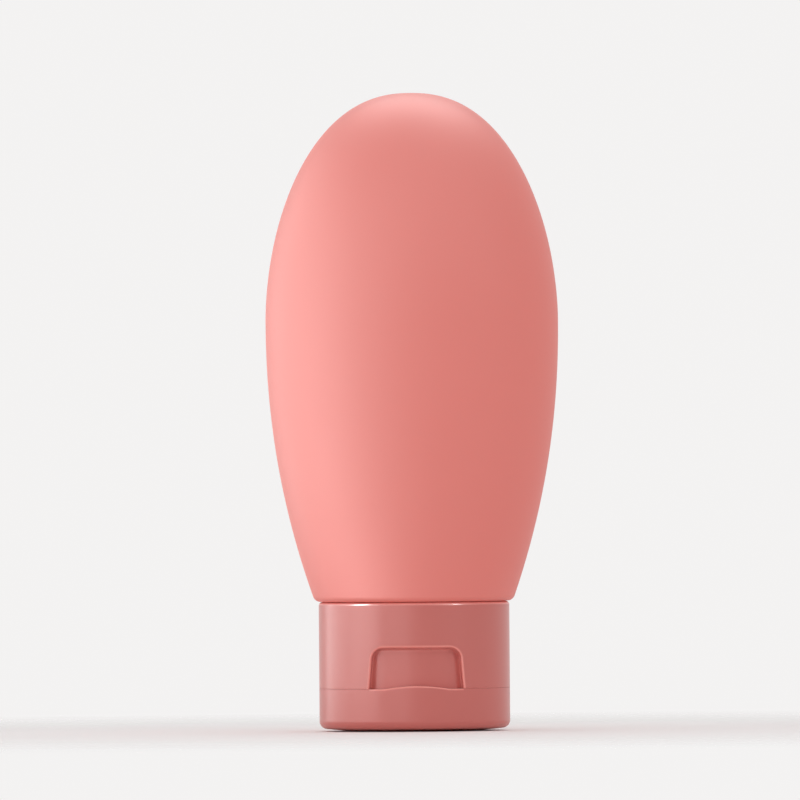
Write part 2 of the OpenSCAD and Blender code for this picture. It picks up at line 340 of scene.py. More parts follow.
def shell_rows(inset, flank_rows, dome_rows, angles):
    """Rows of the blown form from its shoulder up, inset by the wall, without the pole."""
    top = BODY_H - 2 * inset
    at = WIDEST_H - inset
    edge_r = SHOULDER_EDGE_R
    edge = [edge_r * (1 - math.cos(math.radians(a))) for a in range(0, 90, 11)]
    flank = even(edge_r, at, (at - edge_r) / flank_rows)
    dome = [at + (top - at) * math.sin(math.pi / 2 * i / dome_rows) for i in range(dome_rows)]
    h = np.array(edge + flank + dome)
    cut = np.where(h < edge_r, edge_r - np.sqrt(np.clip(edge_r**2 - (edge_r - h) ** 2, 0, None)), 0)
    shoulder = SHOULDER_R - inset
    half_w = body_half(h, BODY_HALF_W - inset, at, shoulder, top) - cut
    half_d = body_half(h, BODY_HALF_D - inset, at, shoulder, top) - cut
    z = np.broadcast_to((SHOULDER_Z + inset + h)[:, None], (len(h), len(angles)))
    return np.stack([half_w[:, None] * np.cos(angles), half_d[:, None] * np.sin(angles), z], -1)


def make_squeeze_body():
    """The blown body as one skin: cavity, bore, lip, threaded neck, shoulder, flanks and dome."""
    angles = np.arange(BODY_SIDES) * 2 * math.pi / BODY_SIDES
    cavity_z = SHOULDER_Z + BODY_WALL
    ring_low = SHOULDER_Z - NECK_RING_GAP - NECK_RING_H
    outer = shell_rows(0.0, 60, 64, angles)
    inner = shell_rows(BODY_WALL, 30, 32, angles)[::-1]
    neck = rounded_path([
        (inner[-1, 0, 0], cavity_z, 0, 1.2),
        (BORE_R, cavity_z, CAVITY_STEP_R, 1.2),
        (BORE_R, LIP_Z, NECK_LIP_EDGE_R),
        (NECK_R, LIP_Z, NECK_LIP_EDGE_R, 0.1),
        (NECK_R, ring_low, EDGE_R),
        (NECK_RING_R, ring_low, EDGE_R),
        (NECK_RING_R, ring_low + NECK_RING_H, EDGE_R),
        (NECK_R, ring_low + NECK_RING_H, EDGE_R),
        (NECK_R, SHOULDER_Z, NECK_ROOT_R, 1.2),
        (outer[0, 0, 0], SHOULDER_Z, 0, 1.2),
    ])[1:-1]
    radii = np.broadcast_to(neck[:, :1], (len(neck), BODY_SIDES)).copy()
    heights = neck[:, 1:]
    on_neck = (np.abs(radii - NECK_R) < NEAR) & (heights < ring_low - EDGE_R)
    radii += on_neck * THREAD_H * thread_height(heights, angles, LIP_Z + THREAD_START, NECK_TURNS)
    rows = np.concatenate([inner, turned(radii, neck[:, 1], angles), outer])
    poles = ((0, 0, DOME_Z - BODY_WALL), (0, 0, DOME_Z))
    points, faces = lathe(rows, angles, poles=poles)
    return add_piece("squeeze_body", points, faces, "bottle", "soft_body", "bottle")


# The closure base

# The finest step of the cap's grid, and how far above the recess it goes, in millimetres
FINE = 0.055
FINE_OUT = 0.2

FRONT = -math.pi / 2
RECESS_SIDE_H = RECESS_H - RECESS_CORNER_R
RECESS_LEAN = (RECESS_HALF_W - RECESS_TOP_HALF_W) / RECESS_SIDE_H
GAP_END_W = 0.6
GAP_END_OUT = 0.3

# The grid's columns lean with the recess's sides: where that starts, where it is in full, and
# where it fades and ends, in millimetres from the cap's middle
LEAN_START, LEAN_FULL, LEAN_KEPT, LEAN_END = 2.0, 5.5, 8.6, 12.0


def cap_angles():
    """Angles round the cap, close together where the sides and corners of the recess lie."""
    side_in = math.asin((RECESS_HALF_W - RECESS_CORNER_R) / CAP_R)
    side_out = math.asin((RECESS_HALF_W + RECESS_EDGE_OUT) / CAP_R)
    fine, close, plain = FINE / CAP_R, 0.4 / CAP_R, 0.75 / CAP_R
    right = even(0, side_in, close) + even(side_in, side_out, fine)
    right += even(side_out, math.pi, plain)
    left = [-a for a in right[1:]][::-1]
    return np.array(left + right + [math.pi]) + FRONT


def leaning(angles, z):
    """The angles of each row, with the columns at the recess leaning in as its sides do."""
    turned_by = angles[None, :] - FRONT
    x = CAP_R * np.sin(turned_by)
    side = np.abs(x)
    weight = smooth(side, LEAN_START, LEAN_FULL) * (1 - smooth(side, LEAN_KEPT, LEAN_END))
    weight = weight * (np.abs(turned_by) < math.pi / 2)
    shift = RECESS_LEAN * np.clip(z - SEAM_Z, 0, RECESS_SIDE_H) * weight * np.sign(x)
    return angles[None, :] - shift / np.sqrt(CAP_R**2 - np.clip(side, 0, LEAN_END) ** 2)


def recess_inside(x, z):
    """How far a point of the front view lies inside the recess's outline: less than 0 outside."""
    height = z - SEAM_Z
    side = RECESS_HALF_W - RECESS_LEAN * np.clip(height, -1, RECESS_SIDE_H) - np.abs(x)
    top = RECESS_H - height
    corner_x = np.abs(x) - (RECESS_TOP_HALF_W - RECESS_CORNER_R)
    corner_z = height - RECESS_SIDE_H
    corner = RECESS_CORNER_R - np.hypot(corner_x, corner_z)
    return np.where((corner_x > 0) & (corner_z > 0), corner, np.minimum(side, top))


def recess_depth(x, z):
    """Depth of the recess: a rounded edge, a steep side and a small fillet at its floor."""
    sine, cosine = math.sin(RECESS_WALL_ANGLE), math.cos(RECESS_WALL_ANGLE)
    edge_w, foot_w = RECESS_EDGE_R * sine, RECESS_FOOT_R * sine
    edge_d, foot_d = RECESS_EDGE_R * (1 - cosine), RECESS_FOOT_R * (1 - cosine)
    side_w = (RECESS_DEPTH - edge_d - foot_d) * cosine / sine
    inside = recess_inside(x, z) + RECESS_EDGE_OUT
    floor_in = edge_w + side_w + foot_w
    edge = RECESS_EDGE_R - np.sqrt(RECESS_EDGE_R**2 - np.clip(inside, 0, edge_w) ** 2)
    side = edge_d + (inside - edge_w) * sine / cosine
    to_floor = np.clip(floor_in - inside, 0, foot_w)
    foot = RECESS_DEPTH - RECESS_FOOT_R + np.sqrt(RECESS_FOOT_R**2 - to_floor**2)
    depth = np.where(inside < edge_w, edge, np.where(inside < edge_w + side_w, side, foot))
    return np.where(inside <= 0, 0.0, depth)


def back_radius(radius, angles, z):
    """The wall's radius where the flat for the hinge cuts it, with a rounded end to the flat."""
    sine = np.maximum(np.sin(angles), 1e-6)
    flat = HINGE_Y / sine
    near = 1 - smooth(np.abs(z - HINGE_MID_Z), HINGE_FLAT_H - FLAT_END_H, HINGE_FLAT_H)
    cut = np.clip(radius - flat, 0, None) * (np.sin(angles) > 0)
    return radius - cut * near


def base_section():
    """The base's section: wall, rim, gap, threaded sleeve, deck with nozzle, and snap collar."""
    collar_in = COLLAR_R - COLLAR_WALL
    collar_z = SEAM_Z - COLLAR_H
    return rounded_path([
        (CAP_R, SEAM_Z, SEAM_EDGE_R, 0.3),
        (CAP_R, FLAT_TOP_Z - FLAT_END_H, 0, FINE),
        (CAP_R, FLAT_TOP_Z, 0, 0.3),
        (CAP_R, SEAM_Z + RECESS_SIDE_H, 0, FINE),
        (CAP_R, SEAM_Z + RECESS_H + FINE_OUT, 0, 0.7),
        (CAP_R, RIM_Z, RIM_EDGE_R, 0.3),
        (SHELL_IN_R, RIM_Z, TIGHT_R, 0.8),
        (SHELL_IN_R, DECK_Z, TIGHT_R, 0.3),
        (SLEEVE_OUT_R, DECK_Z, TIGHT_R, 0.8),
        (SLEEVE_OUT_R, SLEEVE_TOP_Z, EDGE_R),
        (SLEEVE_R, SLEEVE_TOP_Z, EDGE_R, 0.12),
        (SLEEVE_R, DECK_Z, ROOT_R, 1.2),
        (ORIFICE_R, DECK_Z, TIGHT_R, 0.6),
        (ORIFICE_R, NOZZLE_Z, TIGHT_R, 0.3),
        (NOZZLE_TIP_R, NOZZLE_Z, NOZZLE_EDGE_R, 0.4),
        (NOZZLE_ROOT_R, SEAM_Z, ROOT_R, 1.2),
        (collar_in, SEAM_Z, EDGE_R, 0.4),
        (collar_in, collar_z, EDGE_R, 0.3),
        (COLLAR_R, collar_z, EDGE_R, 0.3),
        (COLLAR_R, SNAP_Z - SNAP_HALF_W, SNAP_EDGE_R, 0.1),
        (COLLAR_R + SNAP_H, SNAP_Z, SNAP_BEAD_R, 0.1),
        (COLLAR_R, SNAP_Z + SNAP_HALF_W, SNAP_EDGE_R, 0.1),
        (COLLAR_R, SEAM_Z, SLIGHT_R, 0.15),
    ], closed=True)


def press_wall(r, z, around):
    """Radii and angles once the outer wall and the seam's face follow the recess and the flat.

    A dented point keeps its place in the front view."""
    x = CAP_R * np.cos(around)
    inner_r = np.where(z < SEAM_Z + NEAR, COLLAR_R, SHELL_IN_R)
    wall = (r > inner_r + NEAR) & (z > SEAM_Z - NEAR) & (z < RIM_Z - 1)
    dent = recess_depth(x, np.maximum(z, SEAM_Z)) * (np.sin(around) < 0)
    target = back_radius(CAP_R - dent, around, z)
    share = (r - inner_r) / (CAP_R - inner_r) * wall
    kept = -np.arccos(np.clip(x / target, -1, 1))
    pressed = np.where(wall, inner_r + share * (target - inner_r), r)
    return pressed, around + share * (dent > 0) * (kept - around)


def fill_gap(section, z, angles):
    """Raises the floor of the gap between shell and sleeve behind the recess."""
    middle_r = (SHELL_IN_R + SLEEVE_OUT_R) / 2
    end_x = RECESS_HALF_W + SHELL_WALL + GAP_END_OUT
    inside = end_x - middle_r * np.abs(np.cos(angles))
    filled = smooth(inside, 0.0, GAP_END_W) * (np.sin(angles) < 0)
    floor_z = DECK_Z + (SEAM_Z + RECESS_H + SHELL_WALL - DECK_Z) * filled
    gap = (section[:, 0] < SHELL_IN_R + NEAR) & (section[:, 0] > SLEEVE_OUT_R - NEAR)
    gap &= (section[:, 1] > DECK_Z - NEAR) & (section[:, 1] < RIM_Z - 0.2)
    for i in np.flatnonzero(gap):
        top = RIM_Z if section[i, 0] > middle_r else SLEEVE_TOP_Z
        z[i] = floor_z + (top - floor_z) * (section[i, 1] - DECK_Z) / (top - DECK_Z)


def make_closure_base():
    """The base as one turned ring, with the recess, the flat and the thread pressed into it."""
    angles = cap_angles()
    section = base_section()
    r = np.broadcast_to(section[:, :1], (len(section), len(angles)))
    z = np.broadcast_to(section[:, 1:], r.shape).copy()
    r, around = press_wall(r, z, leaning(angles, z))
    fill_gap(section, z, angles)

    # The thread stands in from the sleeve
    start = LIP_Z + THREAD_START + THREAD_PITCH / 2
    on_sleeve = np.abs(r - SLEEVE_R) < NEAR
    r -= on_sleeve * THREAD_H * thread_height(z, around, start, CAP_TURNS)

    rows = np.stack([r * np.cos(around), r * np.sin(around), z], -1)
    points, faces = lathe(rows, angles, closed=True)
    return add_piece("closure_base", points, faces, "cap", "cap", "cap_base")


# The flip lid

LIP_IN_R = CAP_R - RECESS_DEPTH + LIP_GAP
LIP_SOFT = 0.06
RIM_BAND = LIP_EDGE_R + 0.1
SNAP_GROOVE_GAP = 0.12
LID_EDGE_STEPS = 12


def lid_section():
    """The lid's section: crowned end, wall, rim, snap groove, floor, post and plug."""
    post_z = NOZZLE_Z - PLUG_SHOULDER_GAP
    post_r = PLUG_R + PLUG_POST_W
    groove_w = SNAP_HALF_W + SNAP_GROOVE_GAP
    crown_w = CAP_R - LID_EDGE_R - PAD_R
    crown = [(PAD_R + crown_w * t, CROWN_H * t * t) for t in (0.2, 0.4, 0.6, 0.8)]
    return rounded_path([
        (0.6, 0.0, 0, 1.2),
        (PAD_R, 0.0, 0, 1.2),
        *[(*point, 0, 1.2) for point in crown],
        (CAP_R - LID_EDGE_R, CROWN_H, 0, 1.2),
        (CAP_R - 0.35, CROWN_H + 0.1, 0, 1.2),
        (CAP_R, CROWN_H + LID_EDGE_R, 0, 0.6),
        (CAP_R, FLAT_LOW_Z, 0, FINE),
        (CAP_R, FLAT_LOW_Z + FLAT_END_H, 0, 0.6),
        (CAP_R, LID_RIM_Z, LIP_EDGE_R, 0.3),
        (LIP_IN_R + SUPPORT, LID_RIM_Z, 0, 0.3),
        (LIP_IN_R - SUPPORT, LID_RIM_Z, 0, 0.3),
        (LID_IN_R, LID_RIM_Z, SLIGHT_R, 0.15),
        (LID_IN_R, SNAP_Z + groove_w, SLIGHT_R, 0.1),
        (LID_IN_R + SNAP_H, SNAP_Z, SNAP_EDGE_R, 0.1),
        (LID_IN_R, SNAP_Z - groove_w, SLIGHT_R, 0.6),
        (LID_IN_R, LID_END_T, LID_FLOOR_R, 1.0),
        (post_r, LID_END_T, ROOT_R, 0.6),
        (post_r, post_z, TIGHT_R, 0.3),
        (PLUG_R, post_z, SLIGHT_R, 0.2),
        (PLUG_R, NOZZLE_Z, 0, 0.4),
        (PLUG_R - PLUG_TAPER, PLUG_TOP_Z, PLUG_END_R, 0.4),
        (0.4, PLUG_TOP_Z, 0, 0.4),
    ])


def round_lid_edge(section):
    """Puts the round edge between the lid's crowned end and its wall in place of a corner."""
    start = np.argmin(np.hypot(section[:, 0] - (CAP_R - LID_EDGE_R), section[:, 1] - CROWN_H))
    end = np.argmin(np.hypot(section[:, 0] - CAP_R, section[:, 1] - CROWN_H - LID_EDGE_R))
    centre = np.array([CAP_R - LID_EDGE_R, CROWN_H + LID_EDGE_R])
    turn = [math.pi / 2 * k / LID_EDGE_STEPS for k in range(1, LID_EDGE_STEPS)]
    arc = [centre + LID_EDGE_R * np.array([math.sin(a), -math.cos(a)]) for a in turn]
    return np.concatenate([section[: start + 1], np.array(arc), section[end:]])


def sharpen_rim(section, r, z, x, front):
    """Radii and heights with the rim's outer edge sharp at the seam and rounder along the lip."""
    at_edge = (section[:, 1] > LID_RIM_Z - RIM_BAND) & (section[:, 0] > CAP_R - RIM_BAND)
    lip = (1 - smooth(np.abs(x), 0.75 * LIP_HALF_W, LIP_HALF_W)) * front
    size = 1 - at_edge[:, None] * (1 - SEAM_EDGE_R / LIP_EDGE_R) * (1 - lip)
    return CAP_R - (CAP_R - r) * size, LID_RIM_Z - (LID_RIM_Z - z) * size


def lip_rise(x, front):
    """How far the low arch of the thumb lip stands above the rim."""
    arch_r = (LIP_HALF_W**2 + LIP_H**2) / (2 * LIP_H)
    arch = np.sqrt(np.clip(arch_r**2 - x**2, 0, None)) - arch_r + LIP_H
    rise = (arch + np.sqrt(arch**2 + LIP_SOFT**2)) / 2 - LIP_SOFT / 4
    return np.clip(rise, 0, LIP_H) * front * (np.abs(x) < LIP_HALF_W + 2)


def make_flip_lid():
    """The lid as one turned cup with its plug, the thumb lip and the flat for the hinge."""
    angles = cap_angles()
    section = round_lid_edge(lid_section())
    x = CAP_R * np.cos(angles)[None, :]
    front = np.sin(angles)[None, :] < 0
    r, z = sharpen_rim(section, section[:, :1], section[:, 1:], x, front)

    # The thumb lip stands in the outer part of the rim
    rim = (section[:, 1] > LID_RIM_Z - RIM_BAND) & (section[:, 0] > LIP_IN_R)
    z = z + rim[:, None] * lip_rise(x, front)

    # The flat for the hinge is cut behind
    wall = (section[:, 0] > LID_IN_R + SNAP_H + 0.05) & (section[:, 1] > FLAT_LOW_Z - 0.3)
    target = back_radius(np.full_like(r, CAP_R), angles[None, :], z)
    share = (r - LID_IN_R) / (CAP_R - LID_IN_R)
    r = np.where(wall[:, None], LID_IN_R + share * (target - LID_IN_R), r)

    rows = np.stack([r * np.cos(angles), r * np.sin(angles), z], -1)
    points, faces = lathe(rows, angles, poles=((0, 0, 0), (0, 0, PLUG_TOP_Z)))
    return add_piece("flip_lid", points, faces, "lid", "cap", "lid")


# The living hinge


def hinge_lines():
    """The x and z values of the hinge's grid, closest together at the slots and the film."""
    slot_in = HINGE_STRAP_W / 2
    slot_out = slot_in + HINGE_SLOT_W
    half_w, film, half_slot = HINGE_W / 2, FILM_H / 2, HINGE_LEAF_H / 2
    xs = (even(-half_w, -slot_out, 0.4) + even(-slot_out, -slot_in, 0.25)
          + even(-slot_in, slot_in, 0.4) + even(slot_in, slot_out, 0.25)
          + even(slot_out, half_w, 0.4) + [half_w])
    zs = (even(-HINGE_LEAF_H, -half_slot, 0.3) + even(-half_slot, -film, 0.2)
          + even(-film, film, 0.05) + even(film, half_slot, 0.2)
          + even(half_slot, HINGE_LEAF_H, 0.3) + [HINGE_LEAF_H])
    return np.array(xs), np.array(zs)


def hinge_sides(zs):
    """The inner and outer y of the hinge at each height: leaves, film and rounded outer ends."""
    leaf = smooth(np.abs(zs), FILM_H / 2 - FILM_RAMP, FILM_H / 2 + FILM_RAMP)
    thickness = FILM_T + (HINGE_T - FILM_T) * leaf
    to_end = np.minimum(HINGE_LEAF_H - np.abs(zs), HINGE_END_W) / HINGE_END_W
    end_cut = HINGE_END_CUT * (1 - np.sqrt(np.clip(1 - (1 - to_end) ** 2, 0, 1)))
    middle = HINGE_Y + HINGE_T / 2
    return middle - thickness / 2, middle + thickness / 2 - end_cut


def plate(present, place):
    """Points and faces of a plate of grid cells. Its edges are closed where a cell isn't present.

    place gives the point at a column, a row and a side, 0 within and 1 outside."""
    columns, rows = present.shape
    points, index, faces = [], {}, []

    def point(i, j, side):
        if (i, j, side) not in index:
            index[i, j, side] = len(points)
            points.append(place(i, j, side))
        return index[i, j, side]

    def is_cell(i, j):
        return 0 <= i < columns and 0 <= j < rows and present[i, j]

    for i, j in np.argwhere(present):
        ring = [(i, j), (i + 1, j), (i + 1, j + 1), (i, j + 1)]
        faces.append([point(*corner, 0) for corner in ring])
        faces.append([point(*corner, 1) for corner in reversed(ring)])
        for k, (di, dj) in enumerate([(0, -1), (1, 0), (0, 1), (-1, 0)]):
            if not is_cell(i + di, j + dj):
                a, b = ring[k], ring[(k + 1) % 4]
                faces.append([point(*b, 0), point(*a, 0), point(*a, 1), point(*b, 1)])
    return points, faces


def make_hinge_strip():
    """Two leaves and a thin film between them, with two slots, as one plate."""
    xs, zs = hinge_lines()
    sides = hinge_sides(zs)
    mid_x = np.abs(xs[:-1] + xs[1:])[:, None] / 2
    mid_z = np.abs(zs[:-1] + zs[1:])[None, :] / 2
    slot_in = HINGE_STRAP_W / 2
    in_slot = (mid_x > slot_in) & (mid_x < slot_in + HINGE_SLOT_W) & (mid_z < HINGE_LEAF_H / 2)
    points, faces = plate(~in_slot, lambda i, j, side: (xs[i], sides[side][j], HINGE_MID_Z + zs[j]))
    strip = add_piece("hinge_strip", points, faces, None, "cap", "living_hinge", sharp=35.0)
    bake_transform(strip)
    return strip


# Materials


class Wire:
    """A node's output that takes part in plain expressions."""

    def __init__(self, paint, socket, vector=False):
        self.paint, self.socket, self.vector = paint, socket, vector

    def _join(self, operation, first, second):
        """Adds the node that joins two numbers, or a vector with another vector."""
        kind = "ShaderNodeVectorMath" if self.vector else "ShaderNodeMath"
        return self.paint.node(kind, {"operation": operation}, {0: first, 1: second},
                               vector=self.vector)

    def __add__(self, other):
        return self._join("ADD", self, other)

    def __radd__(self, other):
        return self._join("ADD", other, self)

    def __sub__(self, other):
        return self._join("SUBTRACT", self, other)

    def __rsub__(self, other):
        return self._join("SUBTRACT", other, self)

    def __mul__(self, other):
        return self._join("MULTIPLY", self, other)

    def __rmul__(self, other):
        return self._join("MULTIPLY", other, self)


class Paint:
    """The nodes of one material, or of the world."""

    def __init__(self, owner):
        owner.use_nodes = True
        self.owner = owner
        self.tree = owner.node_tree
        self.tree.nodes.clear()

    def node(self, kind, settings=None, inputs=None, output=0, vector=False):
        """Adds a node: its settings first, then values or links for its sockets."""
        made = self.tree.nodes.new(kind)
        for key, value in (settings or {}).items():
            setattr(made, key, value)
        for key, value in (inputs or {}).items():
            if isinstance(value, Wire):
                self.tree.links.new(value.socket, made.inputs[key])
            else:
                made.inputs[key].default_value = value
        return Wire(self, made.outputs[output], vector) if made.outputs else None

    def places(self):
        """The point on the object, in metres."""
        return self.node("ShaderNodeTexCoord", output="Object", vector=True)

    def parts(self, vector):
        """The three numbers of a vector."""
        split = self.node("ShaderNodeSeparateXYZ", inputs={0: vector}).socket.node
        return [Wire(self, split.outputs[i]) for i in range(3)]

    def noise(self, vector, scale, detail):
        """Cloudy noise from 0 to 1, with this many clouds a metre."""
        return self.node("ShaderNodeTexNoise", inputs={
            "Vector": vector, "Scale": scale, "Detail": detail})

    def mix(self, factor, first, second):
        """A colour between two colours. The node's sockets 6 and 7 are its colours."""
        return self.node("ShaderNodeMix", {"data_type": "RGBA"},
                         {"Factor": factor, 6: first, 7: second}, output=2)

    def near(self, value, reach):
        """1 where a value is 0, falling to 0 at the reach on either side."""
        return self.node("ShaderNodeMapRange", {"interpolation_type": "SMOOTHSTEP"},
                         {"Value": self.of("ABSOLUTE", value), "From Min": reach, "From Max": 0.0})

    def of(self, operation, *values):
        """One of the Math node's functions, such as the smaller of two numbers."""
        return self.node("ShaderNodeMath", {"operation": operation}, dict(enumerate(values)))

    def length(self, *parts):
        """The length of a vector from its parts."""
        whole = self.node("ShaderNodeCombineXYZ", inputs=dict(enumerate(parts)), vector=True)
        return self.node("ShaderNodeVectorMath", {"operation": "LENGTH"}, {0: whole}, output=1)

    def ramp(self, value, low, high):
        """0 below low and 1 above high, with a soft change between them."""
        return self.node("ShaderNodeMapRange", {"interpolation_type": "SMOOTHSTEP"},
                         {"Value": value, "From Min": low, "From Max": high})

    def bump(self, height, strength, distance):
        """The normal of a surface with this relief, whose full height is the distance in metres."""
        return self.node("ShaderNodeBump", inputs={
            "Height": height, "Strength": strength, "Distance": distance}, vector=True)

    def finish(self, **sockets):
        """Joins a Principled shader with these sockets to the surface and gives the material."""
        named = {key.replace("_", " "): value for key, value in sockets.items()}
        shader = self.node("ShaderNodeBsdfPrincipled", inputs=named)
        self.node("ShaderNodeOutputMaterial", inputs={"Surface": shader})
        return self.owner


def new_paint(name):
    """The nodes of a new material."""
    return Paint(bpy.data.materials.new(name))


def colour(red, green, blue):
    """A colour given as 0 to 255 on screen, for a shader socket."""
    def linear(value):
        value /= 255
        return value / 12.92 if value <= 0.04045 else ((value + 0.055) / 1.055) ** 2.4
    return (linear(red), linear(green), linear(blue), 1.0)


BODY_PINK = colour(237, 128, 118)
BODY_PINK_DEEP = colour(230, 122, 112)
CAP_PINK = colour(205, 113, 105)
CAP_PINK_DEEP = colour(198, 106, 99)
# A paler pink, used as a painted highlight along the cap's edges
CAP_PAINTED_HIGHLIGHT = colour(250, 160, 150)
HINGE_PALE = colour(228, 166, 158)
LINER_WHITE = colour(238, 236, 230)
LINER_SHADE = colour(226, 223, 216)

PLASTIC_IOR = 1.5
SCATTER = (1.0, 0.45, 0.35)
PARTING_W = 0.00022

# The painted highlight lines along the cap's edges and the painted light on the recess's walls, in
# millimetres
HIGHLIGHT_LINE_W = 0.3
HIGHLIGHT_LINE_OUT = 0.04
HIGHLIGHT_LINE_DOWN = 0.1
WALL_LIGHT_W = 0.5
WALL_LIGHT = 0.3
HIGHLIGHT_LIP_IN_R = LID_IN_R + 0.1
SEAM_BLUR = 0.02
FRONT_Y = -12.0


def soft_polyethylene():
    """The blown body: satin pink, a little mottled, with a faint parting line at its sides."""
    paint = new_paint("soft pink polyethylene")
    place = paint.places()
    cloud = paint.noise(place, 55.0, 3.0)
    grain = paint.noise(place, 2600.0, 2.0)
    flow = paint.noise(place * (1.0, 1.0, 0.12), 240.0, 2.0)
    parting = paint.near(paint.parts(place)[1], PARTING_W)
    base = paint.mix(0.35 + 0.3 * cloud, BODY_PINK_DEEP, BODY_PINK)
    tinted = paint.mix(0.1 * parting, base, BODY_PINK_DEEP)
    height = 0.5 * grain + 0.35 * flow + 0.6 * parting
    return paint.finish(
        Base_Color=tinted,
        Roughness=0.46 + 0.1 * cloud + 0.04 * grain,
        IOR=PLASTIC_IOR,
        Specular_IOR_Level=0.7,
        Subsurface_Weight=0.12,
        Subsurface_Radius=SCATTER,
        Subsurface_Scale=0.0022,
        Normal=paint.bump(height, 0.35, 0.00003),
    )


def painted_edge_highlights(paint, place):
    """Painted highlight lines along the rim, the recess's outline and the thumb lip, and painted
    light on the recess's walls.
    """
    x, y, z = (part * (1 / MM) for part in paint.parts(place))
    side = paint.of("ABSOLUTE", x)
    height = z - SEAM_Z

    # How far a point lies outside the recess's outline
    lean = RECESS_LEAN * paint.of("MINIMUM", height, RECESS_SIDE_H)
    across = side + lean - (RECESS_HALF_W - RECESS_CORNER_R)
    up = height - RECESS_SIDE_H
    corner = paint.length(paint.of("MAXIMUM", across, 0.0), paint.of("MAXIMUM", up, 0.0))
    flat = paint.of("MINIMUM", paint.of("MAXIMUM", across, up), 0.0)
    outside = corner + flat - RECESS_CORNER_R
    # Painted light on the recess's walls, where shade falls, and a painted highlight line along its
    # outline
    painted_wall_light = WALL_LIGHT * paint.near(outside + WALL_LIGHT_W, WALL_LIGHT_W)
    recess = paint.near(outside - HIGHLIGHT_LINE_OUT, HIGHLIGHT_LINE_W) + painted_wall_light
    recess = recess * paint.ramp(height, -SEAM_BLUR, SEAM_BLUR)

    # The painted highlight line along the thumb lip's outer edge, below the recess
    arch = paint.of("MAXIMUM", LIP_H - (LIP_H / LIP_HALF_W**2) * side * side, 0.0)
    lip = paint.near(height - arch + HIGHLIGHT_LINE_DOWN, HIGHLIGHT_LINE_W)
    lip = lip * paint.ramp(side, RECESS_HALF_W, RECESS_HALF_W - HIGHLIGHT_LINE_W)
    lip = lip * paint.ramp(paint.length(x, y, 0.0), HIGHLIGHT_LIP_IN_R, HIGHLIGHT_LIP_IN_R + HIGHLIGHT_LINE_W)

    front = paint.ramp(y, FRONT_Y + 1, FRONT_Y)
    # A painted highlight band along the rim's rounded top edge
    rim = paint.ramp(z, RIM_Z - RIM_EDGE_R, RIM_Z - RIM_EDGE_R / 2)
    return paint.of("MAXIMUM", rim, front * paint.of("MAXIMUM", recess, lip))


def cap_polypropylene():
    """The cap's moulding: a slightly darker pink with a soft gloss, faint flow marks and painted
    highlights along its edges.
    """
    paint = new_paint("glossy pink polypropylene")
    place = paint.places()
    cloud = paint.noise(place, 90.0, 2.0)
    flow = paint.noise(place * (1.0, 1.0, 0.2), 420.0, 3.0)
    skin = paint.noise(place, 1500.0, 2.0)
    pink = paint.mix(0.3 + 0.4 * cloud, CAP_PINK_DEEP, CAP_PINK)
    # Painted highlights: the cap turns paler along the rim, the recess's outline and the lip's
    # edge, with painted light on the recess's walls
    base = paint.mix(painted_edge_highlights(paint, place) * (0.6 + 0.3 * skin), pink, CAP_PAINTED_HIGHLIGHT)
    return paint.finish(
        Base_Color=base,
        Roughness=0.25 + 0.05 * flow + 0.03 * skin,
        IOR=PLASTIC_IOR,
        Specular_IOR_Level=0.43,
        Subsurface_Weight=0.06,
        Subsurface_Radius=SCATTER,
        Subsurface_Scale=0.001,
        Normal=paint.bump(0.5 * flow + 0.3 * skin, 0.1, 0.00002),
    )


def hinge_polypropylene():
    """The same moulding, paler where the film has been bent."""
    paint = new_paint("bent pink polypropylene")
    place = paint.places()
    bent = paint.near(paint.parts(place)[2] - HINGE_MID_Z * MM, FILM_H * MM)
    streaks = paint.noise(place * (1.0, 1.0, 6.0), 900.0, 2.0)
    base = paint.mix(bent * (0.35 + 0.3 * streaks), CAP_PINK, HINGE_PALE)
    return paint.finish(
        Base_Color=base,
        Roughness=0.26 + 0.14 * bent,
        IOR=PLASTIC_IOR,
        Normal=paint.bump(streaks, 0.3, 0.00003),
    )


def foam_liner():
    """The washer's foamed polyethylene: white, matt and finely pitted."""
    paint = new_paint("white foam liner")
    place = paint.places()
    pores = paint.node("ShaderNodeTexVoronoi", inputs={"Vector": place, "Scale": 3200.0})
    cloud = paint.noise(place, 500.0, 2.0)
    return paint.finish(
        Base_Color=paint.mix(cloud, LINER_SHADE, LINER_WHITE),
        Roughness=0.62 + 0.12 * cloud,
        Normal=paint.bump(pores, 0.4, 0.00005),
    )


def dress(piece, material):
    """Gives a piece this material alone."""
    piece.data.materials.clear()
    piece.data.materials.append(material)


# The camera, at the photograph's place

PHOTO_PX = 800
MM_PER_PX = 105.0 / 637.5
AXIS_PX = 412.4
TABLE_PX = 730.5
CAMERA_DISTANCE = 4.0
CAMERA_ROLL = math.radians(0.45)
CAMERA_AZIMUTH = math.radians(-1.2)
FRAME_WIDTH = PHOTO_PX * MM_PER_PX * MM
SENSOR_WIDTH = 36.0


def make_camera():
    """A distant camera that frames the bottle as the photograph does."""
    data = bpy.data.cameras.new("camera")
    data.sensor_width = SENSOR_WIDTH
    data.lens = SENSOR_WIDTH * CAMERA_DISTANCE / FRAME_WIDTH
    data.clip_start, data.clip_end = 0.1, 20.0
    camera = bpy.data.objects.new("camera", data)
    bpy.context.scene.collection.objects.link(camera)
    bpy.context.scene.camera = camera
    across = (PHOTO_PX / 2 - AXIS_PX) * MM_PER_PX * MM
    up = (TABLE_PX - PHOTO_PX / 2) * MM_PER_PX * MM
    place = Vector((across, -CAMERA_DISTANCE, up))
    place.rotate(Euler((0, 0, CAMERA_AZIMUTH)))
    camera.location = place
    camera.rotation_euler = (math.pi / 2, 0, CAMERA_AZIMUTH)
    camera.rotation_euler.rotate_axis("Z", -CAMERA_ROLL)


# The floor, the backdrop and the lamps

